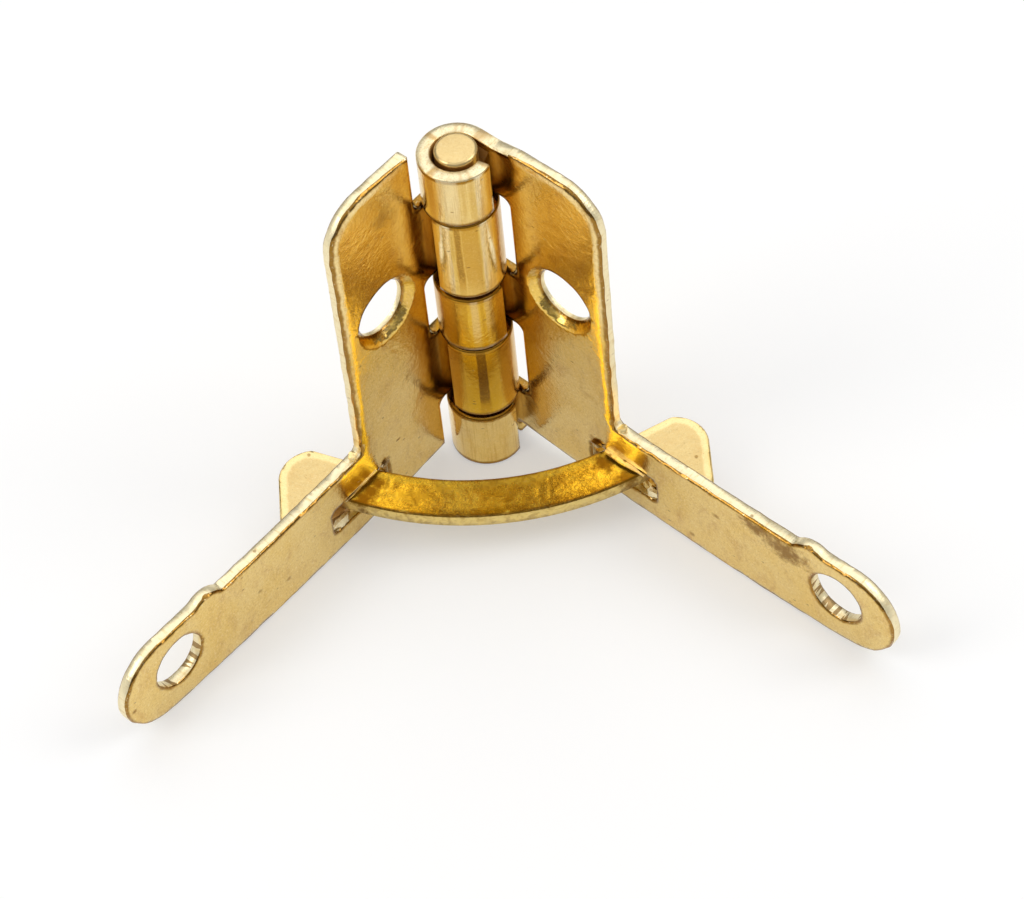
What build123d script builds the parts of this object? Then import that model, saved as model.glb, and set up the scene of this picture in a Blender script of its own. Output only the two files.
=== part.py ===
from build123d import *
from math import cos, radians, sin, sqrt
import os

os.makedirs("parts", exist_ok=True)

# Driving sizes in millimetres. Scale: the arm's screw hole sits about 27 mm from the pin.
sheet = 0.85
open_angle = 90.0
half_angle = open_angle / 2
axis_y = 9.43

# Barrel. The rolls come from the sheet, so the pin follows from the bore.
barrel_radius = 2.3
bore_radius = barrel_radius - sheet
pin_clearance = 0.13
pin_radius = bore_radius - pin_clearance
pin_round = 0.25
pin_chamfer = 0.15
pin_proud = 0.25
pin_bottom = 0.1
end_roll_growth = 0.05
roll_end_angle = 12.0

# Joints between the five knuckles, counted from the top, and their gaps.
barrel_top = 27.85
seam_heights = [23.6, 16.68, 11.6, 4.9]
seam_gaps = [0.12, 0.3, 0.12, 0.26]
barrel_bottom = 0.0

# Leaf outline in its own plane: u away from the pin, z up.
relief_u = 2.5
relief_round = 0.55
plate_edge_u = 9.55
plate_corner_radius = 3.0
plate_rise = {"left": 0.75, "right": 0.3}
arm_top = 6.62
arm_corner_z = 6.85
arm_corner_round = 0.45
eye_u = 28.05
nub_setback = 2.9
nub_length = 2.2
nub_peak_z = 7.3
eye_radius = 3.4
eye_bottom = 0.3
eye_z = eye_bottom + eye_radius
arm_bend_u = 15.0
shoulder_in_u = 1.5
shoulder_out_u = 3.3
# The bottom edge is bowed and climbs toward the barrel.
bottom_low_u = {"left": 16.0, "right": 20.0}
bottom_step_u = 1.5
bottom_step_z = {"left": 0.7, "right": 1.15}

# Screw holes.
arm_hole_setback = {"left": 1.3, "right": 1.0}
arm_hole_z = 3.98
arm_hole_radius = 1.93
plate_hole_u = 5.95
plate_hole_z = {"left": 17.45, "right": 16.85}
plate_hole_radius = 1.95
countersink_radius = 2.5

# Room around the stay in its slot.
slot_room_above = 0.1
slot_room_below = 1.1
slot_room_inward = 0.88
slot_room_outward = 1.0
slot_round = 0.45

# Edge break of the stamped and tumbled sheet.
edge_break = 0.1

# Stay.
stay_top = 4.0
stay_thickness = 1.05
stay_centre_y = 11.32
stay_inner_radius = 17.75
stay_width = 2.9
stay_lean = -0.5
stay_shift_x = 0.25
shoulder_gap = 0.25
head_side_x = 13.6
head_tip = (11.4, -2.9)
head_crown = (12.85, -3.43)
head_side_top_y = -5.23
head_corner_round = 0.8
head_neck_round = 0.6

axis = Vector(0, axis_y, 0)
up = Vector(0, 0, 1)


def leaf_direction(side):
    sign = -1 if side == "left" else 1
    return Vector(sign * sin(radians(half_angle)), -cos(radians(half_angle)), 0)


def leaf_outward(side):
    sign = -1 if side == "left" else 1
    return Vector(sign * cos(radians(half_angle)), sin(radians(half_angle)), 0)


def sheet_plane(side):
    along = leaf_direction(side)
    origin = axis + leaf_outward(side) * (barrel_radius - sheet / 2)
    return Plane(origin=origin, x_dir=along, z_dir=along.cross(up))


def roll_plane(side, height):
    return Plane(origin=axis + up * height, x_dir=leaf_direction(side), z_dir=(0, 0, 1))


def stay_crossing(radius, depth):
    # Distance from the pin at which a rim of the stay meets a plane of the open leaf.
    run = stay_centre_y * cos(radians(half_angle))
    rise = stay_centre_y * sin(radians(half_angle))
    return sqrt(run**2 - depth**2 - stay_centre_y**2 + 2 * depth * rise + radius**2) - run


# Knuckle heights, bottom and top of each, from the seams and their gaps.
tops = [barrel_top] + [z - gap / 2 for z, gap in zip(seam_heights, seam_gaps)]
bottoms = [z + gap / 2 for z, gap in zip(seam_heights, seam_gaps)] + [barrel_bottom]
knuckles = list(zip(bottoms, tops))
strips = {"left": [knuckles[3], knuckles[1]], "right": [knuckles[4], knuckles[2], knuckles[0]]}

# Each plate stands a little above the barrel.
plate_top = {side: barrel_top + rise for side, rise in plate_rise.items()}

# Stretches of each leaf's edge that the other leaf's knuckles pass through.
reliefs = {
    "left": [(-1.0, knuckles[3][0]), (knuckles[3][1], knuckles[1][0]),
             (knuckles[1][1], plate_top["left"] + 1.0)],
    "right": [(knuckles[4][1], knuckles[2][0]), (knuckles[2][1], knuckles[0][0])],
}

# The slot follows the stay's cross-section where it passes through the open arm.
stay_outer_radius = stay_inner_radius + stay_width
slot_inner_u = stay_crossing(stay_inner_radius, barrel_radius - sheet) - slot_room_inward
slot_outer_u = stay_crossing(stay_outer_radius, barrel_radius) + slot_room_outward
slot_top = stay_top + slot_room_above
slot_bottom = stay_top - stay_thickness - slot_room_below


def build_leaf(side):
    # The rolls of the two leaves turn opposite ways around the pin.
    turn = 1 if side == "right" else -1
    top = plate_top[side]
    eye_top = eye_z + eye_radius
    step = (bottom_step_u, bottom_step_z[side])
    # The bowed bottom edge runs smoothly into the eye, as two circles that touch.
    low = (bottom_low_u[side], 0.0)
    nub_end_u = eye_u - nub_setback
    nub_start_u = nub_end_u - nub_length
    reach_u = eye_u - low[0]
    bow_radius = (reach_u**2 + eye_z**2 - eye_radius**2) / (2 * eye_bottom)
    bow_share = bow_radius / (bow_radius - eye_radius)
    eye_start = (low[0] + reach_u * bow_share, bow_radius + (eye_z - bow_radius) * bow_share)
    with BuildPart() as leaf:
        with BuildSketch(sheet_plane(side)) as outline:
            with BuildLine():
                TangentArc(low, step, tangent=(-1, 0))
                TangentArc(low, eye_start, tangent=(1, 0))
                ThreePointArc(eye_start, (eye_u + eye_radius, eye_z), (eye_u, eye_top))
                Line((eye_u, eye_top), (nub_end_u, eye_top))
                ThreePointArc((nub_end_u, eye_top), ((nub_start_u + nub_end_u) / 2, nub_peak_z),
                              (nub_start_u, arm_top))
                Line((nub_start_u, arm_top), (arm_bend_u, arm_top))
                TangentArc((arm_bend_u, arm_top), (plate_edge_u, arm_corner_z), tangent=(-1, 0))
                Line((plate_edge_u, arm_corner_z), (plate_edge_u, top))
                if side == "right":
                    Polyline((plate_edge_u, top), (shoulder_out_u, top), (shoulder_in_u, barrel_top),
                             (0.0, barrel_top), (0.0, barrel_bottom), (bottom_step_u, barrel_bottom), step)
                else:
                    Polyline((plate_edge_u, top), (0.0, top), (0.0, barrel_bottom),
                             (bottom_step_u, barrel_bottom), step)
            make_face()
            fillet(outline.vertices().sort_by_distance((plate_edge_u, top, 0))[0],
                   plate_corner_radius)
            fillet(outline.vertices().sort_by_distance((plate_edge_u, arm_corner_z, 0))[0],
                   arm_corner_round)
            for low_z, high_z in reliefs[side]:
                with Locations(((relief_u - 1.0) / 2, (low_z + high_z) / 2)):
                    RectangleRounded(relief_u + 1.0, high_z - low_z, relief_round,
                                     mode=Mode.SUBTRACT)
            with Locations(((slot_inner_u + slot_outer_u) / 2, (slot_bottom + slot_top) / 2)):
                RectangleRounded(slot_outer_u - slot_inner_u, slot_top - slot_bottom, slot_round,
                                 mode=Mode.SUBTRACT)
            with Locations((eye_u - arm_hole_setback[side], arm_hole_z)):
                Circle(arm_hole_radius, mode=Mode.SUBTRACT)
        extrude(amount=sheet / 2, both=True)
        for low_z, high_z in strips[side]:
            growth = end_roll_growth if barrel_top == high_z or barrel_bottom == low_z else 0.0
            with BuildSketch(roll_plane(side, low_z)) as roll:
                with Locations((0, -turn * growth)):
                    Circle(barrel_radius + growth)
                    Circle(bore_radius + growth, mode=Mode.SUBTRACT)
                reach = 3 * barrel_radius
                end = radians(roll_end_angle)
                with BuildLine():
                    Polyline((0, 0), (reach * cos(end), turn * reach * sin(end)),
                             (reach, turn * reach), (0, turn * reach), (0, 0))
                make_face(mode=Mode.SUBTRACT)
            extrude(amount=high_z - low_z)
        chamfer(leaf.edges(), edge_break)
        # The plate's screw hole is sunk from the inner face.
        hole_centre = (axis + leaf_direction(side) * plate_hole_u + up * plate_hole_z[side]
                       + leaf_outward(side) * (barrel_radius - sheet))
        with Locations(Plane(origin=hole_centre, x_dir=up, z_dir=-leaf_outward(side))):
            CounterSinkHole(plate_hole_radius, countersink_radius, depth=sheet,
                            counter_sink_angle=90)
    leaf.part.label = side + "_leaf"
    return leaf


left_leaf = build_leaf("left")
right_leaf = build_leaf("right")

with BuildPart() as hinge_pin:
    with BuildSketch(Plane(origin=axis + up * pin_bottom, z_dir=(0, 0, 1))):
        Circle(pin_radius)
    extrude(amount=barrel_top + pin_proud - pin_bottom)
    fillet(hinge_pin.edges().filter_by(GeomType.CIRCLE).sort_by(Axis.Z)[-1], pin_round)
    chamfer(hinge_pin.edges().filter_by(GeomType.CIRCLE).sort_by(Axis.Z)[0], pin_chamfer)
hinge_pin.part.label = "hinge_pin"

# The stay: an arc strip with a broad head at each end, square to the pin.
shoulder_offset = barrel_radius + shoulder_gap
outward_right = leaf_outward("right")
along_right = leaf_direction("right")
shoulder_u = stay_crossing(stay_outer_radius, shoulder_offset)
inner_u = stay_crossing(stay_inner_radius, barrel_radius)
shoulder_start = along_right * shoulder_u + outward_right * shoulder_offset
strip_end = along_right * inner_u + outward_right * barrel_radius
shoulder_end_u = (head_side_x - outward_right.X * shoulder_offset) / along_right.X
shoulder_end = along_right * shoulder_end_u + outward_right * shoulder_offset

with BuildPart() as stay:
    with BuildSketch(Plane(origin=axis + Vector(stay_shift_x, 0, stay_top - stay_thickness),
                           x_dir=(cos(radians(stay_lean)), sin(radians(stay_lean)), 0),
                           z_dir=(0, 0, 1))) as strip:
        with BuildLine():
            outer_low = (0, stay_centre_y - stay_outer_radius)
            inner_low = (0, stay_centre_y - stay_inner_radius)
            ThreePointArc((-shoulder_start.X, shoulder_start.Y), outer_low,
                          (shoulder_start.X, shoulder_start.Y))
            Polyline((shoulder_start.X, shoulder_start.Y), (shoulder_end.X, shoulder_end.Y),
                     (head_side_x, head_side_top_y))
            ThreePointArc((head_side_x, head_side_top_y), head_crown, head_tip)
            Line(head_tip, (strip_end.X, strip_end.Y))
            ThreePointArc((strip_end.X, strip_end.Y), inner_low, (-strip_end.X, strip_end.Y))
            Line((-strip_end.X, strip_end.Y), (-head_tip[0], head_tip[1]))
            ThreePointArc((-head_tip[0], head_tip[1]), (-head_crown[0], head_crown[1]),
                          (-head_side_x, head_side_top_y))
            Polyline((-head_side_x, head_side_top_y), (-shoulder_end.X, shoulder_end.Y),
                     (-shoulder_start.X, shoulder_start.Y))
        make_face()
        for sign in (-1, 1):
            fillet(strip.vertices().sort_by_distance((sign * shoulder_end.X, shoulder_end.Y, 0))[0],
                   head_corner_round)
            fillet(strip.vertices().sort_by_distance((sign * shoulder_start.X, shoulder_start.Y, 0))[0],
                   head_neck_round)
    extrude(amount=stay_thickness)
    chamfer(stay.edges(), edge_break)
stay.part.label = "stay"

export_step(left_leaf.part, "parts/left_leaf.step")
export_step(right_leaf.part, "parts/right_leaf.step")
export_step(hinge_pin.part, "parts/hinge_pin.step")
export_step(stay.part, "parts/stay.step")
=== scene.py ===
import math

import bpy
from mathutils import Matrix, Vector, kdtree, noise


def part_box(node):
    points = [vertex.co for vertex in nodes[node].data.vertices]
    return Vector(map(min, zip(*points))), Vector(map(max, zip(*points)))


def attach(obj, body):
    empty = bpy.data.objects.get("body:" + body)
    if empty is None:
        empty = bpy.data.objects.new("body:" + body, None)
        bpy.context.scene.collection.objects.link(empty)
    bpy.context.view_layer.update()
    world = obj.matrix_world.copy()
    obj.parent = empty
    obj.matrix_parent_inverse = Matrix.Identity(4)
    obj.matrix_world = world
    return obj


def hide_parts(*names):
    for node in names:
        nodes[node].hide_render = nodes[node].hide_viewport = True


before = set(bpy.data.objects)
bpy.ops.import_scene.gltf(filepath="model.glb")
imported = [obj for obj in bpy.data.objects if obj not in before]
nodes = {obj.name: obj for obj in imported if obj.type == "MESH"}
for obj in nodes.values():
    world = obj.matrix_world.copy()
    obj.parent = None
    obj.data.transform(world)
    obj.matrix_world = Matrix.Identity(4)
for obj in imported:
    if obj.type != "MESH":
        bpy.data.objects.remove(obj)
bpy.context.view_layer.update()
scene = bpy.context.scene
mm = 0.001
half = math.sqrt(0.5)

hinge = {
    "pinY": 0.00943,          # the pin's place, metres
    "sheetInner": 0.00145,    # inner and outer face of a leaf from the pin's axis
    "sheetOuter": 0.0023,
    "flatStart": 0.0028,      # past this distance from the pin a leaf is flat sheet
    "barrelReach": 0.00245,   # just outside the rolls
    "boreReach": 0.00158,     # just outside the bore
    "openEnd": 0.027,         # above this height the barrel's end lies open
    "leafTip": 0.0314,        # farthest from the pin
    "leafFoot": 0.0002,
    "leafTop": 0.0286,
    "plateFoot": 7.3,         # mm, above this height a leaf is plate and no longer arm
}
pinPlace = Vector((0, hinge["pinY"], 0))

view = {
    "place": (0.003425, -0.146487, 0.205485),
    "forward": (-0.00796, 0.60110, -0.79914),
    "right": (0.99991, 0.01324, 0.0),
    "roll": -6.336,           # degrees
    "lens": 140.77,
    "near": 0.01,
    "far": 10.0,
}

studio = {
    "floorSize": 3.0,
    "floorColour": (0.93, 0.925, 0.915, 1.0),
    "floorLift": 0.38,        # share of the floor that is plain white
    "skyColour": (0.97, 0.98, 1.0, 1.0),
    # brightness of the room by height, from the horizon to overhead
    "skySteps": [(0.0, 0.18), (0.32, 0.14), (0.55, 0.5), (0.8, 1.0), (1.0, 1.0)],
    "skyWhiteInMetal": 0.12,  # share of the white background that the metal shows
    "lampTarget": (0, 0, 0.01),
    # lamps: name, place, size, power, tint
    "lamps": [
        ("softboxBack", (0.0, 0.26, 0.34), (0.46, 0.34), 0.30, (1, 1, 1)),
        ("softboxLeft", (-0.32, -0.08, 0.28), (0.2, 0.3), 0.55, (1.0, 0.98, 0.95)),
        ("softboxRight", (0.32, 0.0, 0.30), (0.2, 0.26), 0.44, (1, 1, 1)),
    ],
}


def makeCamera():
    forward = Vector(view["forward"]).normalized()
    flatRight = Vector(view["right"]).normalized()
    flatUp = flatRight.cross(forward)
    roll = math.radians(view["roll"])
    right = flatRight * math.cos(roll) + flatUp * math.sin(roll)
    upward = flatUp * math.cos(roll) - flatRight * math.sin(roll)
    data = bpy.data.cameras.new("photoCamera")
    data.lens = view["lens"]
    data.sensor_fit = "HORIZONTAL"
    data.clip_start = view["near"]
    data.clip_end = view["far"]
    camera = bpy.data.objects.new("photoCamera", data)
    turn = Matrix((right, upward, -forward)).transposed().to_4x4()
    camera.matrix_world = Matrix.Translation(Vector(view["place"])) @ turn
    scene.collection.objects.link(camera)
    scene.camera = camera


# Small helpers for node trees.

def newMaterial(name):
    material = bpy.data.materials.new(name)
    material.use_nodes = True
    material.node_tree.nodes.clear()
    return material, material.node_tree


def addNode(tree, kind, **settings):
    node = tree.nodes.new(kind)
    for key, value in settings.items():
        setattr(node, key, value)
    return node


def feed(tree, socket, value):
    # a value goes on the socket, an output is linked to it
    if isinstance(value, bpy.types.NodeSocket):
        tree.links.new(value, socket)
    else:
        socket.default_value = value


def maths(tree, operation, a, b=0.0):
    node = addNode(tree, "ShaderNodeMath", operation=operation)
    feed(tree, node.inputs[0], a)
    feed(tree, node.inputs[1], b)
    return node.outputs[0]


def inverse(tree, mask):
    return maths(tree, "SUBTRACT", 1.0, mask)


def squareSum(tree, a, b):
    return maths(tree, "ADD", maths(tree, "MULTIPLY", a, a), maths(tree, "MULTIPLY", b, b))


def ramp(tree, value, low, high, toLow=0.0, toHigh=1.0):
    node = addNode(tree, "ShaderNodeMapRange", interpolation_type="SMOOTHSTEP")
    feed(tree, node.inputs["Value"], value)
    feed(tree, node.inputs["From Min"], low)
    feed(tree, node.inputs["From Max"], high)
    feed(tree, node.inputs["To Min"], toLow)
    feed(tree, node.inputs["To Max"], toHigh)
    return node.outputs["Result"]


def inBand(tree, value, low, high, soft):
    # 1 between low and high, running out over soft on each side
    rise = ramp(tree, value, low - soft, low + soft)
    return maths(tree, "MULTIPLY", rise, ramp(tree, value, high - soft, high + soft, 1.0, 0.0))


def mixColour(tree, share, a, b, blend="MIX"):
    node = addNode(tree, "ShaderNodeMix", data_type="RGBA", blend_type=blend)
    feed(tree, node.inputs[0], share)
    feed(tree, node.inputs[6], a)
    feed(tree, node.inputs[7], b)
    return node.outputs[2]


def coat(tree, below, mask, share, above):
    # lays one colour over another, by a mask and its share
    return mixColour(tree, maths(tree, "MULTIPLY", mask, share), below, above)


def stretched(tree, vector, scale, turn=(0, 0, 0)):
    node = addNode(tree, "ShaderNodeMapping")
    feed(tree, node.inputs["Vector"], vector)
    node.inputs["Scale"].default_value = scale
    node.inputs["Rotation"].default_value = turn
    return node.outputs["Vector"]


def split3(tree, vector):
    node = addNode(tree, "ShaderNodeSeparateXYZ")
    feed(tree, node.inputs[0], vector)
    return node.outputs[0], node.outputs[1], node.outputs[2]


def makeFloor():
    bpy.ops.object.select_all(action="DESELECT")
    bpy.ops.mesh.primitive_plane_add(size=studio["floorSize"], location=(0, 0, 0))
    floor = bpy.context.active_object
    floor.name = "floor"
    material, tree = newMaterial("paleFloor")
    out = addNode(tree, "ShaderNodeOutputMaterial")
    mix = addNode(tree, "ShaderNodeMixShader")
    diffuse = addNode(tree, "ShaderNodeBsdfDiffuse")
    diffuse.inputs["Color"].default_value = studio["floorColour"]
    white = addNode(tree, "ShaderNodeEmission")
    white.inputs["Strength"].default_value = 1.0
    path = addNode(tree, "ShaderNodeLightPath")
    seen = maths(tree, "MAXIMUM", path.outputs["Is Camera Ray"], path.outputs["Is Glossy Ray"])
    seen = maths(tree, "MAXIMUM", seen, path.outputs["Is Transmission Ray"])
    feed(tree, mix.inputs[0], maths(tree, "MULTIPLY", seen, studio["floorLift"]))
    feed(tree, mix.inputs[1], diffuse.outputs[0])
    feed(tree, mix.inputs[2], white.outputs[0])
    feed(tree, out.inputs["Surface"], mix.outputs[0])
    floor.data.materials.append(material)


def makeWorld():
    world = bpy.data.worlds.new("studioWorld")
    world.use_nodes = True
    tree = world.node_tree
    tree.nodes.clear()
    out = addNode(tree, "ShaderNodeOutputWorld")
    # the room is dim near the horizon and bright overhead
    where = addNode(tree, "ShaderNodeTexCoord")
    height = split3(tree, where.outputs["Generated"])[2]
    level = addNode(tree, "ShaderNodeValToRGB")
    steps = level.color_ramp.elements
    for index, (place, strength) in enumerate(studio["skySteps"]):
        # a new ramp already has two steps
        step = steps[index] if index < 2 else steps.new(place)
        step.position = place
        step.color = (strength, strength, strength, 1.0)
    feed(tree, level.inputs[0], height)
    sky = mixColour(tree, 1.0, level.outputs["Color"], studio["skyColour"], "MULTIPLY")
    room = addNode(tree, "ShaderNodeBackground")
    feed(tree, room.inputs["Color"], sky)
    white = addNode(tree, "ShaderNodeBackground")
    white.inputs["Strength"].default_value = 1.0
    path = addNode(tree, "ShaderNodeLightPath")
    inMetal = maths(tree, "MULTIPLY", path.outputs["Is Glossy Ray"], studio["skyWhiteInMetal"])
    seen = maths(tree, "MAXIMUM", path.outputs["Is Camera Ray"], inMetal)
    seen = maths(tree, "MAXIMUM", seen, path.outputs["Is Transmission Ray"])
    mix = addNode(tree, "ShaderNodeMixShader")
    feed(tree, mix.inputs[0], seen)
    feed(tree, mix.inputs[1], room.outputs[0])
    feed(tree, mix.inputs[2], white.outputs[0])
    feed(tree, out.inputs["Surface"], mix.outputs[0])
    scene.world = world


def makeLamp(name, place, size, power, tint):
    data = bpy.data.lights.new(name, "AREA")
    data.shape = "RECTANGLE"
    data.size = size[0]
    data.size_y = size[1]
    data.energy = power
    data.color = tint
    lamp = bpy.data.objects.new(name, data)
    lamp.location = place
    toward = Vector(studio["lampTarget"]) - Vector(place)
    lamp.rotation_euler = toward.to_track_quat("-Z", "Y").to_euler()
    scene.collection.objects.link(lamp)


scene.view_settings.view_transform = "Standard"
makeCamera()
makeFloor()
makeWorld()
for lampSettings in studio["lamps"]:
    makeLamp(*lampSettings)
print("studio ready")


# The pieces: copies of the CAD nodes, with the marks that making and use left on them, and the faces that
# take painted shade.
noise.seed_set(1)             # the marks come out the same each time

def clamped(value):
    return min(1.0, max(0.0, value))


def leafFrame(side):
    # u runs from the pin along the leaf, w outwards from the fold
    sign = -1 if side == "left" else 1
    return Vector((sign * half, -half, 0)), Vector((sign * half, half, 0))


def copyOfNode(node, name):
    piece = bpy.data.objects.new(name, nodes[node].data.copy())
    scene.collection.objects.link(piece)
    bpy.ops.object.select_all(action="DESELECT")
    piece.select_set(True)
    bpy.context.view_layer.objects.active = piece
    bpy.ops.object.mode_set(mode="EDIT")
    bpy.ops.mesh.select_all(action="SELECT")
    bpy.ops.mesh.remove_doubles(threshold=1e-6)
    bpy.ops.mesh.customdata_custom_splitnormals_clear()
    bpy.ops.object.mode_set(mode="OBJECT")
    return piece


def cutAcross(piece, origin, normal, first, last, step):
    # adds rows of edges, so that the mesh can follow small marks
    bpy.ops.object.mode_set(mode="EDIT")
    count = int((last - first) / step) + 1
    for index in range(count):
        bpy.ops.mesh.select_all(action="SELECT")
        place = origin + normal * (first + index * step)
        bpy.ops.mesh.bisect(plane_co=place, plane_no=normal)
    bpy.ops.object.mode_set(mode="OBJECT")


def addLayer(mesh, name, kind, value):
    layer = mesh.attributes.new(name, "FLOAT", kind)
    layer.data.foreach_set("value", [value] * len(layer.data))


def treeOf(places):
    tree = kdtree.KDTree(len(places))
    for index, place in enumerate(places):
        tree.insert(place, index)
    tree.balance()
    return tree


def measureRim(mesh, places):
    # how far each point lies from the nearest cut edge, mm
    tree = treeOf(places)
    rim = mesh.attributes.new("rim", "FLOAT", "POINT")
    for vertex in mesh.vertices:
        rim.data[vertex.index].value = tree.find(vertex.co)[2] / mm
    return rim


def smoothPiece(piece, angle):
    bpy.ops.object.select_all(action="DESELECT")
    piece.select_set(True)
    bpy.context.view_layer.objects.active = piece
    bpy.ops.object.shade_smooth_by_angle(angle=math.radians(angle))
    weigh = piece.modifiers.new("evenNormals", "WEIGHTED_NORMAL")
    weigh.keep_sharp = True
    weigh.weight = 80
    bpy.ops.object.modifier_apply(modifier=weigh.name)


def standFor(piece, node, body):
    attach(piece, body)
    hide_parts(node)


leafFinish = {
    "gridStep": 0.22,         # mm between cuts across the sheet
    "markStart": 0.0030,      # metres from the pin, where the marks below begin
    "markReach": 0.0015,      # metres over which they come in
    "wobbleScale": 1.1,       # waves per mm along the cut edges
    "wobble": 0.05,           # mm
    "slowWobble": (0.35, 0.8),  # its slower part: share of the scale, share of the depth
    "acrossShare": 0.5,       # the two faces of the sheet wander a little apart
    "nickScale": 3.4,
    "nick": 0.02,
    "waveScale": 0.28,        # slow waviness of the faces
    "wave": 0.012,
    # how far the inner face falls away at its rim, and where that starts, in mm
    "rollArm": (0.06, 0.30),
    "rollPlate": (0.17, 0.62),
    "rollWander": 0.6,
    # windows in the sheet that were cut cleanly: along, up, reach, in mm; the first is
    # the arm's hole
    "cleanCuts": [(26.9, 4.0, 2.3), (10.0, 3.4, 3.6), (5.95, 17.2, 3.0)],
    "holeShade": (2.6, 0.12),  # its noise: waves per mm, and the level that shows
    # the stub on the arm's top edge: shift toward the pin, its place along the arm and
    # the lengths over which the shift comes in and runs out, in mm
    "nubShift": {"left": 0.5, "right": -0.75},
    "nubSpan": (21.6, 27.8),
    "nubFade": (1.2, 2.4),
    "nubFoot": (5.6, 1.0),
    "smoothAngle": 50,
}

# how a face lies, by the upright part of its normal
lie = {"level": 0.9, "sloping": 0.2, "down": -0.3, "wall": 0.5}

# depth of the painted shade, by where it lies, with painted bounce light in the bore; the skin's colours
# follow these steps
shadeDepth = {"armHole": 0.17, "chamfer": 0.22, "bore": 0.5, "seam": 1.0}

# torn edges and lips that the punch left round the slots: place along, out and up,
# size, taper of the outer end, lean in degrees, paleness and painted shade
burrs = {
    "left": [
        ((12.05, 2.16, 2.34), (2.3, 0.6, 0.95), 0.7, 0, 0.0, 0.5),
        ((12.25, 1.62, 2.42), (1.5, 0.35, 0.75), 0.25, -8, 1.0, 0.0),
        ((10.15, 1.42, 4.20), (2.9, 0.12, 0.12), 0.5, 4, 1.0, 0.0),
        ((8.0, 2.02, 2.34), (1.5, 0.42, 0.95), 0.8, 0, 0.0, 0.24),
        ((7.9, 1.38, 4.28), (0.55, 0.2, 0.3), 0.3, 30, 0.8, 0.0),
        ((10.2, 1.80, 7.02), (0.5, 0.6, 0.35), 0.4, -20, 0.6, 0.0),
    ],
    "right": [
        ((12.1, 2.16, 2.34), (2.2, 0.6, 0.95), 0.7, 0, 0.0, 0.0),
        ((12.5, 1.62, 2.45), (0.8, 0.4, 0.7), 0.3, 10, 0.9, 0.0),
        ((10.5, 1.32, 4.22), (3.1, 0.36, 0.16), 0.4, 2, 0.7, 0.0),
        ((8.1, 2.02, 2.34), (1.5, 0.42, 0.95), 0.8, 0, 0.0, 0.24),
        ((8.3, 1.36, 4.36), (0.8, 0.3, 0.4), 0.3, -20, 0.5, 0.0),
        ((10.15, 1.80, 6.98), (0.5, 0.6, 0.4), 0.4, -20, 0.6, 0.0),
    ],
}
burrFinish = {
    "cuts": 7,
    "bulge": 0.35,            # share by which both ends are slimmer than the middle
    "tearScale": 1.9,         # waves per mm
    "tear": 0.30,             # share of the thinnest size
    "fineTear": (2.7, 0.4),   # share of the scale, share of the depth
    "apart": 7,               # mm between two burrs' places in the noise
}


def tearBurr(side, settings, count):
    place, size, taper, lean, pale, burrShade = settings
    along, outward = leafFrame(side)
    bpy.ops.object.select_all(action="DESELECT")
    middle = pinPlace + (along * place[0] + outward * place[1]) * mm
    middle.z = place[2] * mm
    turn = math.atan2(along.y, along.x)
    bpy.ops.mesh.primitive_cube_add(size=mm, location=middle, rotation=(0, math.radians(lean), turn))
    burr = bpy.context.active_object
    burr.scale = size
    bpy.ops.object.mode_set(mode="EDIT")
    bpy.ops.mesh.select_all(action="SELECT")
    bpy.ops.mesh.subdivide(number_cuts=burrFinish["cuts"])
    bpy.ops.object.mode_set(mode="OBJECT")
    # the outer end runs out to a tip
    for vertex in burr.data.vertices:
        share = vertex.co.x / mm + 0.5
        slim = 1 - (1 - taper) * share * share
        bulge = 1 - burrFinish["bulge"] * (2 * share - 1) ** 2
        vertex.co.y *= slim * bulge
        vertex.co.z *= slim
    bpy.ops.object.transform_apply(location=True, rotation=True, scale=True)
    fineScale, fineDepth = burrFinish["fineTear"]
    for vertex in burr.data.vertices:
        point = vertex.co / mm * burrFinish["tearScale"] + Vector((count * burrFinish["apart"], 3, 1))
        tear = noise.noise_vector(point) + noise.noise_vector(point * fineScale) * fineDepth
        vertex.co += tear * min(size) * burrFinish["tear"] * mm
    bpy.ops.object.mode_set(mode="EDIT")
    bpy.ops.mesh.select_all(action="SELECT")
    bpy.ops.mesh.normals_make_consistent(inside=False)
    bpy.ops.object.mode_set(mode="OBJECT")
    addLayer(burr.data, "cut", "FACE", pale)
    addLayer(burr.data, "paintedShadeAndBounce", "FACE", burrShade)
    addLayer(burr.data, "rim", "POINT", 1.0)
    return burr


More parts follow.
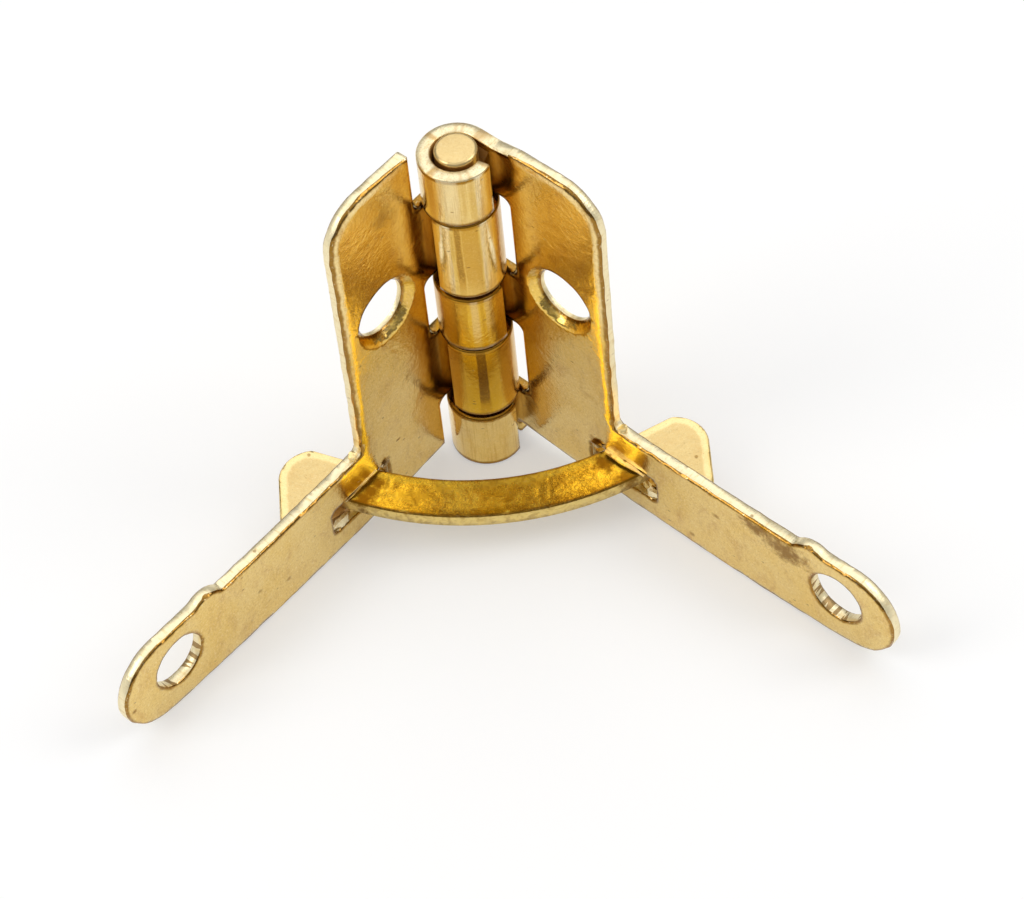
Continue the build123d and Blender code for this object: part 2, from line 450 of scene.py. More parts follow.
def markLeafFaces(mesh, along, outward):
    # cut faces of the flat sheet, the ends of the rolls, and the places painted with shade
    cut = mesh.attributes.new("cut", "FLOAT", "FACE")
    paintedShadeAndBounce = mesh.attributes.new("paintedShadeAndBounce", "FLOAT", "FACE")
    rimPlaces = []
    rollPlaces = []
    shadeScale, shadeLevel = leafFinish["holeShade"]
    for face in mesh.polygons:
        local = face.center - pinPlace
        u = local.dot(along) / mm
        level = abs(face.normal.z)
        flat = u > hinge["flatStart"] / mm
        tilt = abs(face.normal.dot(outward)) if flat else 1 - level
        reach = Vector((local.x, local.y)).length
        inBarrel = not flat and reach < hinge["barrelReach"]
        covered = local.z < hinge["openEnd"]
        chamfer = inBarrel and lie["sloping"] < level < lie["level"] and covered
        seat = not flat and face.normal.z > lie["level"] and covered
        cut.data[face.index].value = 0.0 if chamfer or seat else 1 - tilt
        clean = [math.hypot(u - cu, local.z / mm - cz) < span
                 for cu, cz, span in leafFinish["cleanCuts"]]
        wall = tilt < lie["wall"]
        if wall:
            places = [mesh.vertices[index].co.copy() for index in face.vertices]
            rimPlaces += places
            if flat and not any(clean):
                rollPlaces += places
        # patchy painted shade on the walls of the arm's hole
        if flat and wall and clean[0] and noise.noise(face.center / mm * shadeScale) > shadeLevel:
            paintedShadeAndBounce.data[face.index].value = shadeDepth["armHole"]
        # painted shade under each knuckle, on the ends inside a seam and on the barrel's chamfers, and
        # painted bounce light in the bore
        if inBarrel and face.normal.z < lie["down"]:
            paintedShadeAndBounce.data[face.index].value = shadeDepth["seam"]
        elif chamfer:
            paintedShadeAndBounce.data[face.index].value = shadeDepth["chamfer"]
        elif inBarrel and reach < hinge["boreReach"] and level < lie["wall"]:
            paintedShadeAndBounce.data[face.index].value = shadeDepth["bore"]
    return rimPlaces, rollPlaces


def nubShare(u, z):
    # how much of the stub's shift a point takes, by its place in mm
    start, end = leafFinish["nubSpan"]
    fadeIn, fadeOut = leafFinish["nubFade"]
    foot, rise = leafFinish["nubFoot"]
    return clamped((z - foot) / rise) * clamped((u - start) / fadeIn) * clamped((end - u) / fadeOut)


def wearLeaf(mesh, side, along, outward, rollTree):
    # the outline wanders a little, and the faces are slightly wavy
    middle = (hinge["sheetInner"] + hinge["sheetOuter"]) / 2
    slowScale, slowDepth = leafFinish["slowWobble"]
    for vertex in mesh.vertices:
        local = vertex.co - pinPlace
        u, w, z = local.dot(along), local.dot(outward), local.z
        hold = clamped((u - leafFinish["markStart"]) / leafFinish["markReach"])
        point = Vector((u / mm, (w - middle) / mm * leafFinish["acrossShare"], z / mm))
        waved = point * leafFinish["wobbleScale"]
        wander = noise.noise_vector(waved)
        slow = noise.noise_vector(waved * slowScale + Vector((9, 4, 2)))
        shift = (wander + slow * slowDepth) * leafFinish["wobble"] * mm * hold
        shift += noise.noise_vector(point * leafFinish["nickScale"]) * leafFinish["nick"] * mm * hold
        wave = noise.noise(Vector((u / mm, 0, z / mm)) * leafFinish["waveScale"])
        push = wave * leafFinish["wave"] * mm * hold
        if w < middle:
            # stamping rounds the inner face off toward its rim
            depth, reach = leafFinish["rollPlate" if z / mm > hinge["plateFoot"] else "rollArm"]
            near = max(0.0, 1 - rollTree.find(vertex.co)[2] / mm / reach)
            push += near * near * depth * (1 + wander.z * leafFinish["rollWander"]) * mm * hold
        # the stub does not sit at the same place on both arms
        slide = leafFinish["nubShift"][side] * nubShare(u / mm, z / mm)
        vertex.co += along * shift.x + Vector((0, 0, shift.z)) + outward * push
        vertex.co -= along * slide * mm
        vertex.co.z = max(vertex.co.z, 0.0)


def dressLeaf(side):
    node = side + "_leaf"
    piece = copyOfNode(node, side + "Leaf")
    along, outward = leafFrame(side)
    step = leafFinish["gridStep"] * mm
    cutAcross(piece, pinPlace, along, hinge["flatStart"], hinge["leafTip"], step)
    cutAcross(piece, Vector((0, 0, 0)), Vector((0, 0, 1)), hinge["leafFoot"], hinge["leafTop"], step)
    rimPlaces, rollPlaces = markLeafFaces(piece.data, along, outward)
    measureRim(piece.data, rimPlaces)
    wearLeaf(piece.data, side, along, outward, treeOf(rollPlaces))
    torn = [tearBurr(side, settings, count) for count, settings in enumerate(burrs[side])]
    bpy.ops.object.select_all(action="DESELECT")
    for burr in torn:
        burr.select_set(True)
    piece.select_set(True)
    bpy.context.view_layer.objects.active = piece
    bpy.ops.object.join()
    smoothPiece(piece, leafFinish["smoothAngle"])
    standFor(piece, node, side)
    return piece


stayFinish = {
    "gridStep": 0.2,
    "cutShare": 0.66,         # the strip's edges are less bare than the leaves'
    "topSkin": 0.02,          # mm below the top that still count as top
    "dishStart": 0.15,        # mm from the edge
    "dishReach": 0.5,
    "dish": 0.05,             # mm that the top sinks between its edges
    "wrinkleScale": 1.5,
    "wrinkle": 0.035,
    "warpScale": 0.9,
    "warp": 0.6,
    "smoothAngle": 50,
}


def dressStay():
    piece = copyOfNode("stay", "stayStrip")
    low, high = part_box("stay")
    step = stayFinish["gridStep"] * mm
    cutAcross(piece, Vector((0, 0, 0)), Vector((1, 0, 0)), low.x + step, high.x - step, step)
    cutAcross(piece, Vector((0, 0, 0)), Vector((0, 1, 0)), low.y + step, high.y - step, step)
    mesh = piece.data
    cut = mesh.attributes.new("cut", "FLOAT", "FACE")
    rimPlaces = []
    for face in mesh.polygons:
        tilt = abs(face.normal.z)
        cut.data[face.index].value = (1 - tilt) * stayFinish["cutShare"]
        if tilt < lie["wall"]:
            rimPlaces += [mesh.vertices[index].co.copy() for index in face.vertices]
    rim = measureRim(mesh, rimPlaces)
    top = high.z - stayFinish["topSkin"] * mm
    for vertex in mesh.vertices:
        if vertex.co.z < top:
            continue
        reach = rim.data[vertex.index].value
        inside = clamped((reach - stayFinish["dishStart"]) / stayFinish["dishReach"])
        point = Vector((vertex.co.x / mm, vertex.co.y / mm, 0))
        warp = noise.noise_vector(point * stayFinish["warpScale"]) * stayFinish["warp"]
        wrinkle = noise.turbulence(point * stayFinish["wrinkleScale"] + warp, 3, True)
        vertex.co.z -= inside * (stayFinish["dish"] + wrinkle * stayFinish["wrinkle"]) * mm
    smoothPiece(piece, stayFinish["smoothAngle"])
    standFor(piece, "stay", "stay")
    return piece


pinFinish = {
    "rim": 2.0,               # mm, far enough from any cut edge to show no wear
    "smoothAngle": 50,
}


def dressPin():
    piece = copyOfNode("hinge_pin", "hingePin")
    addLayer(piece.data, "cut", "FACE", 0.0)
    addLayer(piece.data, "rim", "POINT", pinFinish["rim"])
    smoothPiece(piece, pinFinish["smoothAngle"])
    standFor(piece, "hinge_pin", "left")
    return piece


leftLeaf = dressLeaf("left")
rightLeaf = dressLeaf("right")
print("leaves ready", len(leftLeaf.data.polygons), len(rightLeaf.data.polygons))
stayStrip = dressStay()
hingePin = dressPin()
print("stay and pin ready", len(stayStrip.data.polygons))


# Finishes: plated sheet brass with painted highlights, reflections and shade, on a plan in millimetres
# that turns with each leaf.

plating = {
    "gold": (0.830, 0.610, 0.225, 1.0),
    "deepGold": (0.790, 0.520, 0.110, 1.0),
    "paintedReflectionGold": (0.845, 0.525, 0.032, 1.0),
    "stayGoldAndReflection": (0.840, 0.650, 0.070, 1.0),
    "headGold": (0.610, 0.455, 0.205, 1.0),
    "pinGold": (0.710, 0.530, 0.240, 1.0),
    "wornGold": (0.930, 0.740, 0.380, 1.0),
    "stainAndShadeBrown": (0.240, 0.110, 0.004, 1.0),
    "amber": (0.520, 0.250, 0.012, 1.0),
    "cutGold": (0.960, 0.850, 0.560, 1.0),
    "cutDark": (0.720, 0.520, 0.200, 1.0),
    "brown": (0.270, 0.130, 0.013, 1.0),
    "bronze": (0.560, 0.310, 0.090, 1.0),
    "paintedShadeAndBounce": (0.110, 0.042, 0.012, 1.0),
}

# noise in the gold: waves per mm, detail, roughness, warp and stretch
fields = {
    "cloud": (0.35, 3.0, 0.6, 0.0, None),
    "rim": (1.6, 3.0, 0.5, 0.0, None),
    "scored": (5.0, 3.0, 0.65, 0.0, (1.0, 0.12, 1.0)),
    "patch": (1.6, 5.0, 0.75, 0.0, None),
    "grain": (7.0, 3.0, 0.75, 0.0, None),
    "blotch": (0.8, 5.0, 0.7, 0.5, (1.0, 1.0, 0.6)),
    "dust": (9.0, 2.0, 0.7, 0.0, None),
    "mottle": (1.7, 5.0, 0.65, 0.8, None),
    "peel": (3.2, 3.0, 0.6, 0.0, None),
    "dents": (0.55, 2.0, 0.5, 0.6, None),
    "stainAndShade": (1.9, 6.0, 0.8, 0.0, None),
    "bandEdge": (2.6, 4.0, 0.7, 0.0, (1.0, 1.0, 0.10)),
    "streak": (3.4, 3.0, 0.7, 0.0, (1.0, 1.0, 0.05)),
    "hairline": (8.0, 2.0, 0.6, 0.0, (1.0, 1.0, 0.04)),
}

# share with which each layer covers the gold below it
cover = {"cloud": 0.55, "cut": 0.95, "blotch": 0.60, "grainDark": 0.55, "grainPale": 0.50,
         "speck": 0.65, "dust": 0.22, "stainAndShade": 0.9}

# what each layer adds to the roughness, and the metal that the painted shade hides
dulling = {"cloud": 0.05, "dust": 0.10, "cut": 0.26, "tarnishAndDarkReflection": 0.08, "stainAndShade": 0.15, "paintedShadeAndBounce": 0.35}
shadeHidesMetal = 0.75

# heights of the relief, mm
relief = {"peel": 0.014, "dents": 0.038, "speck": -0.012, "dust": 0.0015, "grain": 0.006, "scored": 0.03}

# what the skin takes in, beside a place in millimetres and the deeper gold, which on the leaves is
# painted reflected gold
skinInputs = {
    "Cut": 0.0,
    "Rim": 1.0,
    "Stain And Shade": 0.0,
    "Painted Shade And Bounce": 0.0,
    "Deep Tone And Reflection": 0.0,
    "Tarnish And Dark Reflection": 0.0,
    "Bright": 0.0,
    "Grain": 1.0,
    "Worn Rim": 0.0,
    "Rim Reflection": 0.95,
    "Cut Tone": 0.0,          # 1: the cuts are gold too
    "Peel": 1.0,
    "Mottle": 0.0,
    "Polish": 0.14,
}


def noiseOf(tree, vector, name):
    scale, detail, rough, warp, stretch = fields[name]
    if stretch is not None:
        vector = stretched(tree, vector, stretch)
    node = addNode(tree, "ShaderNodeTexNoise")
    feed(tree, node.inputs["Vector"], vector)
    node.inputs["Scale"].default_value = scale
    node.inputs["Detail"].default_value = detail
    node.inputs["Roughness"].default_value = rough
    node.inputs["Distortion"].default_value = warp
    return node.outputs["Fac"]


def startGroup(name):
    tree = bpy.data.node_groups.new(name, "ShaderNodeTree")
    return tree, addNode(tree, "NodeGroupInput"), addNode(tree, "NodeGroupOutput")


def groupSocket(group, name, kind, inOut="INPUT", value=None):
    socket = group.interface.new_socket(name=name, in_out=inOut, socket_type=kind)
    if value is not None:
        socket.default_value = value


def makeSkinGroup():
    tree, given, out = startGroup("goldSkin")
    groupSocket(tree, "Vector", "NodeSocketVector")
    for name, value in skinInputs.items():
        groupSocket(tree, name, "NodeSocketFloat", value=value)
    groupSocket(tree, "Rich", "NodeSocketColor", value=plating["paintedReflectionGold"])
    groupSocket(tree, "Color", "NodeSocketColor", "OUTPUT")
    groupSocket(tree, "Roughness", "NodeSocketFloat", "OUTPUT")
    groupSocket(tree, "Metallic", "NodeSocketFloat", "OUTPUT")
    groupSocket(tree, "Normal", "NodeSocketVector", "OUTPUT")
    asked = given.outputs
    vector = asked["Vector"]
    isCut = ramp(tree, asked["Cut"], 0.45, 0.8)

    # colour: cloudy gold, deeper where painted reflected gold is asked for, with a painted dark
    # reflection along the rims, paler where the sheet was cut
    cloud = ramp(tree, noiseOf(tree, vector, "cloud"), 0.35, 0.7)
    colour = coat(tree, plating["gold"], cloud, cover["cloud"], plating["deepGold"])
    bare = maths(tree, "MULTIPLY", asked["Worn Rim"], ramp(tree, asked["Rim"], 0.15, 0.7, 1.0, 0.0))
    # the deeper gold by its share: the pin's own tone, and on the leaves and the middle of the stay a
    # painted reflection of the gold around them
    colour = coat(tree, colour, asked["Deep Tone And Reflection"], inverse(tree, bare), asked["Rich"])
    rimNoise = maths(tree, "MULTIPLY", noiseOf(tree, vector, "rim"), -0.25)
    rimEdge = maths(tree, "ADD", asked["Rim"], rimNoise)
    wornIn = inBand(tree, rimEdge, 0.05, 0.42, 0.10)
    colour = coat(tree, colour, wornIn, asked["Worn Rim"], plating["wornGold"])
    # a painted dark reflection along the rolled-over rims
    paintedRimReflection = ramp(tree, rimEdge, 0.0, 0.19, 1.0, 0.0)
    paintedRimReflection = maths(tree, "MULTIPLY", paintedRimReflection, inverse(tree, isCut))
    colour = coat(tree, colour, paintedRimReflection, asked["Rim Reflection"], plating["brown"])

    # drawn lines and specks over the pale cut edges
    scored = noiseOf(tree, vector, "scored")
    patch = maths(tree, "ADD", maths(tree, "MULTIPLY", scored, 0.6),
                  maths(tree, "MULTIPLY", noiseOf(tree, vector, "patch"), 0.5))
    patch = ramp(tree, patch, 0.54, 0.72, 0.0, 0.6)
    cutColour = mixColour(tree, patch, plating["cutGold"], plating["cutDark"])
    cutColour = mixColour(tree, asked["Cut Tone"], cutColour, plating["gold"])
    colour = coat(tree, colour, isCut, cover["cut"], cutColour)

    # blotches and satin grain on the plated faces
    grain = noiseOf(tree, vector, "grain")
    plated = maths(tree, "MULTIPLY", asked["Grain"], inverse(tree, isCut))
    for mask, share, tone in (
            (ramp(tree, noiseOf(tree, vector, "blotch"), 0.46, 0.76), cover["blotch"], "bronze"),
            (ramp(tree, grain, 0.50, 0.72), cover["grainDark"], "bronze"),
            (ramp(tree, grain, 0.46, 0.28), cover["grainPale"], "cutGold")):
        colour = coat(tree, colour, mask, maths(tree, "MULTIPLY", plated, share), plating[tone])

    # painted highlights in bands on the barrel, and tarnish that runs in streaks together with painted
    # dark reflections in bands
    colour = mixColour(tree, asked["Bright"], colour, plating["cutGold"])
    tarnishAndReflectionIn = maths(tree, "MULTIPLY", asked["Tarnish And Dark Reflection"], ramp(tree, grain, 0.30, 0.52, 0.8, 1.0))
    tarnishAndReflectionTone = mixColour(tree, ramp(tree, tarnishAndReflectionIn, 0.65, 0.95), plating["amber"], plating["brown"])
    colour = mixColour(tree, tarnishAndReflectionIn, colour, tarnishAndReflectionTone)

    # fine specks and short nicks, on some of the cells only
    speck = addNode(tree, "ShaderNodeTexVoronoi", feature="F1")
    feed(tree, speck.inputs["Vector"], stretched(tree, vector, (1.0, 1.0, 2.6), (0.0, 0.5, 0.0)))
    speck.inputs["Scale"].default_value = 0.8
    chosen = addNode(tree, "ShaderNodeSeparateColor")
    feed(tree, chosen.inputs[0], speck.outputs["Color"])
    speckIn = maths(tree, "MULTIPLY", ramp(tree, speck.outputs["Distance"], 0.05, 0.13, 1.0, 0.0),
                    ramp(tree, chosen.outputs[0], 0.55, 0.6))
    colour = coat(tree, colour, speckIn, cover["speck"], plating["brown"])
    dust = ramp(tree, noiseOf(tree, vector, "dust"), 0.60, 0.75)
    colour = coat(tree, colour, dust, cover["dust"], plating["brown"])
    # stains on the leaves, and painted shade on the stay and at the slots' inner ends
    colour = coat(tree, colour, asked["Stain And Shade"], cover["stainAndShade"], plating["stainAndShadeBrown"])
    mottle = ramp(tree, noiseOf(tree, vector, "mottle"), 0.45, 0.62)
    colour = coat(tree, colour, mottle, asked["Mottle"], plating["brown"])

    # painted shade: brown where it is thin, bronze in the chamfers and the bore, near black in a seam;
    # the bronze in the bore stands for light bounced between the gold walls
    shadeTone = mixColour(tree, ramp(tree, asked["Painted Shade And Bounce"], 0.3, 0.4), plating["brown"], plating["bronze"])
    shadeTone = mixColour(tree, ramp(tree, asked["Painted Shade And Bounce"], 0.6, 0.9), shadeTone, plating["paintedShadeAndBounce"])
    colour = mixColour(tree, ramp(tree, asked["Painted Shade And Bounce"], 0.1, 0.2), colour, shadeTone)
    hidden = maths(tree, "MULTIPLY", ramp(tree, asked["Painted Shade And Bounce"], 0.3, 0.45), shadeHidesMetal)
    feed(tree, out.inputs["Color"], colour)
    feed(tree, out.inputs["Metallic"], inverse(tree, hidden))

    # roughness: polished, duller in clouds, on cut edges and in stains and painted shade
    rough = asked["Polish"]
    for mask, name in ((cloud, "cloud"), (dust, "dust"), (isCut, "cut"), (asked["Tarnish And Dark Reflection"], "tarnishAndDarkReflection"),
                       (asked["Stain And Shade"], "stainAndShade"), (asked["Painted Shade And Bounce"], "paintedShadeAndBounce")):
        rough = maths(tree, "ADD", rough, maths(tree, "MULTIPLY", mask, dulling[name]))
    feed(tree, out.inputs["Roughness"], rough)

    # relief: orange peel, slow dents, grain, and drawn lines across the cut edges
    peel = maths(tree, "MULTIPLY", noiseOf(tree, vector, "peel"), asked["Peel"])
    height = maths(tree, "MULTIPLY", peel, relief["peel"])
    for mask, name in ((noiseOf(tree, vector, "dents"), "dents"), (speckIn, "speck"), (dust, "dust"),
                       (maths(tree, "MULTIPLY", grain, plated), "grain"),
                       (maths(tree, "MULTIPLY", scored, isCut), "scored")):
        height = maths(tree, "ADD", height, maths(tree, "MULTIPLY", mask, relief[name]))
    bump = addNode(tree, "ShaderNodeBump")
    bump.inputs["Strength"].default_value = 1.0
    bump.inputs["Distance"].default_value = mm
    feed(tree, bump.inputs["Height"], height)
    feed(tree, out.inputs["Normal"], bump.outputs["Normal"])
    return tree


def makeStainAndShadeGroup():
    # one soft patch round a centre, with a ragged edge
    tree, given, out = startGroup("stainAndShade")
    for name in ("Vector", "Centre", "Reach"):
        groupSocket(tree, name, "NodeSocketVector")
    groupSocket(tree, "Mask", "NodeSocketFloat", "OUTPUT")
    away = addNode(tree, "ShaderNodeVectorMath", operation="SUBTRACT")
    feed(tree, away.inputs[0], given.outputs["Vector"])
    feed(tree, away.inputs[1], given.outputs["Centre"])
    scaled = addNode(tree, "ShaderNodeVectorMath", operation="DIVIDE")
    feed(tree, scaled.inputs[0], away.outputs[0])
    feed(tree, scaled.inputs[1], given.outputs["Reach"])
    size = addNode(tree, "ShaderNodeVectorMath", operation="LENGTH")
    feed(tree, size.inputs[0], scaled.outputs[0])
    ragged = maths(tree, "MULTIPLY", noiseOf(tree, given.outputs["Vector"], "stainAndShade"), 1.4)
    total = maths(tree, "ADD", size.outputs["Value"], ragged)
    feed(tree, out.inputs["Mask"], ramp(tree, total, 0.88, 1.32, 1.0, 0.0))
    return tree


# knuckles from the top: up from, up to, share of deeper gold painted as reflection, and painted
# bands across the front as place from, place to and share; -1 and 1 are the sides of the
# barrel. A share above nothing is a painted dark reflection, one below is a painted highlight.
knuckles = [
    (23.66, 27.9, 0.0, [(-0.78, -0.64, 0.60), (0.02, 0.12, 0.35), (0.24, 0.34, 0.35),
                        (-0.55, -0.05, -0.35), (0.40, 0.66, -0.7), (0.72, 0.92, 0.50)]),
    (16.83, 23.66, 0.35, [(-1.0, -0.78, 0.75), (-0.70, -0.42, -0.75), (-0.30, -0.10, 0.85),
                          (-0.10, 0.36, 0.65), (0.42, 0.74, -0.75), (0.80, 1.0, 0.75)]),
    (11.66, 16.83, 0.9, [(-1.0, -0.16, 0.70), (-0.08, 0.12, -0.35), (0.16, 0.28, 0.60),
                         (0.32, 0.52, -0.30), (0.60, 1.0, 0.70), (-1.0, 1.0, 0.35)]),
    (5.03, 11.66, 1.0, [(-1.0, -0.42, 0.65), (-0.12, 0.20, 1.0), (0.46, 1.0, 0.60),
                        (-1.0, 1.0, 0.45)]),
]
knuckleFinish = {
    "zoneSoft": 0.04,         # mm over which a knuckle's colours run out at its ends
    "bandSoft": 0.045,
    "bandWander": 0.16,
    # the bands draw together toward the foot: from and to above it in mm, and their
    # strength there
    "foot": (-0.3, 2.2, 0.35),
    "barrelEdge": (2.42, 2.55),
    "streak": 0.35,
    "hairline": 0.30,
    "flatsReflection": (9.0, 17.0, 0.48),
}


def makeTarnishAndReflectionGroup():
    tree, given, out = startGroup("barrelTarnishAndReflection")
    groupSocket(tree, "Vector", "NodeSocketVector")
    groupSocket(tree, "Front", "NodeSocketFloat", value=0.0)   # which way the fold faces
    for name in ("Tarnish And Dark Reflection", "Bright", "Deep Tone And Reflection"):
        groupSocket(tree, name, "NodeSocketFloat", "OUTPUT")
    vector = given.outputs["Vector"]
    x, y, z = split3(tree, vector)
    reach = maths(tree, "SQRT", squareSum(tree, x, y))
    across = maths(tree, "SUBTRACT", maths(tree, "MULTIPLY", y, half),
                   maths(tree, "MULTIPLY", x, given.outputs["Front"]))
    across = maths(tree, "DIVIDE", across, maths(tree, "MAXIMUM", reach, 0.5))
    wander = maths(tree, "SUBTRACT", noiseOf(tree, vector, "bandEdge"), 0.5)
    wander = maths(tree, "MULTIPLY", wander, knuckleFinish["bandWander"])
    across = maths(tree, "ADD", across, wander)
    edge = knuckleFinish["barrelEdge"]
    barrel = ramp(tree, reach, edge[0], edge[1], 1.0, 0.0)
    streak = ramp(tree, noiseOf(tree, vector, "streak"), 0.50, 0.75)
    hairline = ramp(tree, noiseOf(tree, vector, "hairline"), 0.50, 0.66)
    tarnishAndDarkReflection = maths(tree, "MAXIMUM", maths(tree, "MULTIPLY", streak, knuckleFinish["streak"]),
                    maths(tree, "MULTIPLY", hairline, knuckleFinish["hairline"]))
    paintedHighlight = 0.0
    reflectedShare = 0.0
    footFrom, footTo, footShare = knuckleFinish["foot"]
    # each knuckle's deeper gold is painted reflection, and its bands are painted highlights and painted
    # dark reflections
    for low, high, rich, bands in knuckles:
        zone = inBand(tree, z, low, high, knuckleFinish["zoneSoft"])
        fade = ramp(tree, z, low + footFrom, low + footTo, footShare, 1.0)
        for start, end, share in bands:
            band = inBand(tree, across, start, end, knuckleFinish["bandSoft"])
            band = maths(tree, "MULTIPLY", maths(tree, "MULTIPLY", band, abs(share)), fade)
            band = maths(tree, "MULTIPLY", band, zone)
            if share > 0:
                tarnishAndDarkReflection = maths(tree, "MAXIMUM", tarnishAndDarkReflection, band)
            else:
                paintedHighlight = maths(tree, "MAXIMUM", paintedHighlight, band)
        reflectedShare = maths(tree, "ADD", reflectedShare, maths(tree, "MULTIPLY", zone, rich))
    # the flats above the arms turn deeper toward the top, as painted reflection of the gold around them
    reflectFrom, reflectTo, reflectShare = knuckleFinish["flatsReflection"]
    flats = maths(tree, "MULTIPLY", ramp(tree, z, reflectFrom, reflectTo), reflectShare)
    inside = maths(tree, "MULTIPLY", reflectedShare, barrel)
    outside = maths(tree, "MULTIPLY", flats, inverse(tree, barrel))
    feed(tree, out.inputs["Tarnish And Dark Reflection"], maths(tree, "MULTIPLY", tarnishAndDarkReflection, barrel))
    feed(tree, out.inputs["Bright"], maths(tree, "MULTIPLY", paintedHighlight, barrel))
    feed(tree, out.inputs["Deep Tone And Reflection"], maths(tree, "ADD", inside, outside))
    return tree


skinGroup = makeSkinGroup()
stainAndShadeGroup = makeStainAndShadeGroup()
tarnishAndReflectionGroup = makeTarnishAndReflectionGroup()


def layStainsAndShade(tree, skin, plan, stainsAndShade):
    total = 0.0
    for centre, reach, share in stainsAndShade:
        patch = addNode(tree, "ShaderNodeGroup", node_tree=stainAndShadeGroup)
        feed(tree, patch.inputs["Vector"], plan)
        patch.inputs["Centre"].default_value = centre
        patch.inputs["Reach"].default_value = reach
        total = maths(tree, "MAXIMUM", total, maths(tree, "MULTIPLY", patch.outputs["Mask"], share))
    feed(tree, skin.inputs["Stain And Shade"], total)


def makePlating(name, turn, shift, stainsAndShade, values):
    # on a leaf the plan's x runs along it, y across it and z up, in millimetres
    material, tree = newMaterial(name)
    place = addNode(tree, "ShaderNodeTexCoord")
    plan = addNode(tree, "ShaderNodeMapping")
    feed(tree, plan.inputs["Vector"], place.outputs["Object"])
    plan.inputs["Scale"].default_value = (1 / mm, 1 / mm, 1 / mm)
    plan.inputs["Rotation"].default_value = (0, 0, math.radians(turn))
    plan.inputs["Location"].default_value = shift
    skin = addNode(tree, "ShaderNodeGroup", node_tree=skinGroup)
    feed(tree, skin.inputs["Vector"], plan.outputs[0])
    for socket, layer in (("Cut", "cut"), ("Rim", "rim"), ("Painted Shade And Bounce", "paintedShadeAndBounce")):
        node = addNode(tree, "ShaderNodeAttribute", attribute_name=layer)
        feed(tree, skin.inputs[socket], node.outputs["Fac"])
    for key, value in values.items():
        skin.inputs[key].default_value = value
    layStainsAndShade(tree, skin, plan.outputs[0], stainsAndShade)
    shader = addNode(tree, "ShaderNodeBsdfPrincipled")
    for made, socket in (("Color", "Base Color"), ("Roughness", "Roughness"), ("Metallic", "Metallic"),
                         ("Normal", "Normal")):
        feed(tree, shader.inputs[socket], skin.outputs[made])
    out = addNode(tree, "ShaderNodeOutputMaterial")
    feed(tree, out.inputs["Surface"], shader.outputs[0])
    return material, tree, skin, plan.outputs[0]


# stains and painted shade: centre (along the leaf, across it, up), reach, share
leafStainsAndShade = {
    "left": [
        ((5.2, 0.0, 25.6), (1.8, 9.0, 1.8), 0.45),
        ((30.9, 0.0, 3.35), (0.5, 9.0, 0.4), 0.9),
        # painted shade at the slot's inner end
        ((7.8, 0.0, 4.3), (1.0, 9.0, 0.7), 0.95),
        ((6.5, 0.0, 5.2), (0.5, 9.0, 0.2), 0.8),
        ((17.2, 0.0, 2.0), (0.5, 9.0, 0.35), 0.6),
        ((19.65, 0.0, 3.34), (0.5, 9.0, 0.4), 0.6),
    ],
    "right": [
        ((21.2, 1.35, 6.1), (3.4, 0.55, 1.6), 1.0),
        ((23.2, 1.35, 5.7), (4.0, 0.55, 2.4), 1.0),
        # painted shade at the slot's inner end
        ((8.2, 0.0, 4.5), (1.3, 9.0, 0.8), 0.95),
        ((17.7, 0.0, 4.6), (0.6, 9.0, 0.5), 0.7),
        ((15.7, 0.0, 0.95), (0.5, 9.0, 0.4), 0.6),
    ],
}
leafPlate = {
    "barrel": (5.8, 7.0),     # square of the distance from the pin, mm
    "barrelGrain": 0.45,
    "wornHeight": (15.0, 19.0),
    "wornStart": (2.8, 3.4),
    "wornShare": 0.65,
    "hole": (5.95, 0.0, 17.15),
    "holeEdge": (2.9, 3.3),
}


def platingOfLeaf(side):
    sign = 1 if side == "left" else -1
    pinShift = hinge["pinY"] / mm * half
    shift = (pinShift, sign * pinShift, 0)
    material, tree, skin, plan = makePlating("goldLeaf" + side.capitalize(), 90 + sign * 45, shift,
                                             leafStainsAndShade[side], {})
    # the barrel is smoother, and the plate's rims are worn pale toward the top
    x, y, z = split3(tree, plan)
    near, far = leafPlate["barrel"]
    grain = ramp(tree, squareSum(tree, x, y), near, far, leafPlate["barrelGrain"], 1.0)
    feed(tree, skin.inputs["Grain"], grain)
    worn = maths(tree, "MULTIPLY", ramp(tree, z, *leafPlate["wornHeight"]), leafPlate["wornShare"])
    worn = maths(tree, "MULTIPLY", worn, ramp(tree, x, *leafPlate["wornStart"]))
    onPlate = addNode(tree, "ShaderNodeCombineXYZ")
    feed(tree, onPlate.inputs[0], x)
    feed(tree, onPlate.inputs[2], z)
    fromHole = addNode(tree, "ShaderNodeVectorMath", operation="DISTANCE")
    feed(tree, fromHole.inputs[0], onPlate.outputs[0])
    fromHole.inputs[1].default_value = leafPlate["hole"]
    worn = maths(tree, "MULTIPLY", worn, ramp(tree, fromHole.outputs["Value"], *leafPlate["holeEdge"]))
    feed(tree, skin.inputs["Worn Rim"], worn)
    # painted highlights, painted dark reflections and painted reflected gold on the barrel and the flats,
    # with tarnish streaks
    tarnishAndDarkReflection = addNode(tree, "ShaderNodeGroup", node_tree=tarnishAndReflectionGroup)
    feed(tree, tarnishAndDarkReflection.inputs["Vector"], plan)
    tarnishAndDarkReflection.inputs["Front"].default_value = sign * half
    for name in ("Tarnish And Dark Reflection", "Bright", "Deep Tone And Reflection"):
        feed(tree, skin.inputs[name], tarnishAndDarkReflection.outputs[name])
    return material


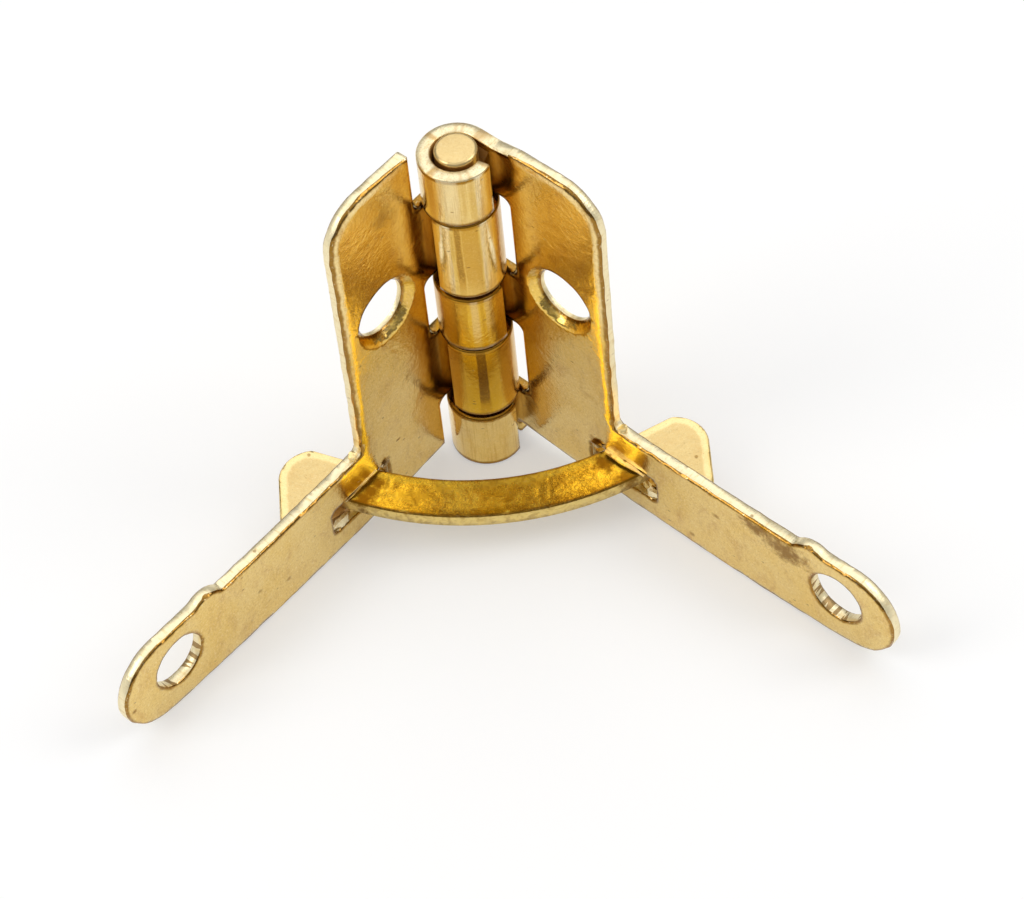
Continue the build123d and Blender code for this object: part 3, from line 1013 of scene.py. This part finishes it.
# painted shade on the strip's top next to each arm, and a light painted shade over its middle
stayPaintedShade = [
    ((-8.1, 2.45, 4.0), (1.4, 1.4, 9.0), 1.0),
    ((-7.65, 3.0, 4.0), (1.4, 1.4, 9.0), 1.0),
    ((-7.25, 3.6, 4.0), (1.4, 1.4, 9.0), 1.0),
    ((7.1, 3.3, 4.0), (1.7, 1.5, 9.0), 1.0),
    ((8.4, 2.1, 4.0), (1.8, 1.5, 9.0), 0.9),
    ((1.5, 2.6, 4.0), (9.0, 1.6, 9.0), 0.20),
]
staySkin = {"Peel": 1.4, "Polish": 0.24, "Grain": 0.4, "Deep Tone And Reflection": 0.9, "Cut Tone": 0.75}
# the heads begin past the line where x, without its sign, and y times the slope make
# start to end, mm
stayHeads = {"slope": 0.85, "start": 11.1, "end": 11.8, "mottle": 0.4, "line": 0.95, "rim": 0.6}


def platingOfStay():
    material, tree, skin, plan = makePlating("goldStay", 0, (0, 0, 0), stayPaintedShade, staySkin)
    # between the leaves the strip is painted a deeper gold, a painted reflection of the leaves' gold,
    # with mottle and a painted dark rim line; past the leaves the stay's heads are pale and plain
    x, y, z = split3(tree, plan)
    reach = maths(tree, "ADD", maths(tree, "ABSOLUTE", x), maths(tree, "MULTIPLY", y, stayHeads["slope"]))
    between = ramp(tree, reach, stayHeads["start"], stayHeads["end"], 1.0, 0.0)
    rich = mixColour(tree, between, plating["headGold"], plating["stayGoldAndReflection"])
    feed(tree, skin.inputs["Rich"], rich)
    feed(tree, skin.inputs["Mottle"], maths(tree, "MULTIPLY", between, stayHeads["mottle"]))
    feed(tree, skin.inputs["Rim Reflection"], maths(tree, "MULTIPLY", between, stayHeads["line"]))
    onHeads = inverse(tree, between)
    feed(tree, skin.inputs["Worn Rim"], maths(tree, "MULTIPLY", onHeads, stayHeads["rim"]))
    return material


pinSkin = {"Peel": 1.6, "Polish": 0.3, "Grain": 0.4, "Deep Tone And Reflection": 1.0, "Rich": plating["pinGold"]}


def platingOfPin():
    return makePlating("goldPin", 0, (0, 0, 0), [], pinSkin)[0]


def wear(piece, material):
    piece.data.materials.clear()
    piece.data.materials.append(material)
    for face in piece.data.polygons:
        face.material_index = 0


wear(leftLeaf, platingOfLeaf("left"))
wear(rightLeaf, platingOfLeaf("right"))
wear(stayStrip, platingOfStay())
wear(hingePin, platingOfPin())
print("finishes ready")
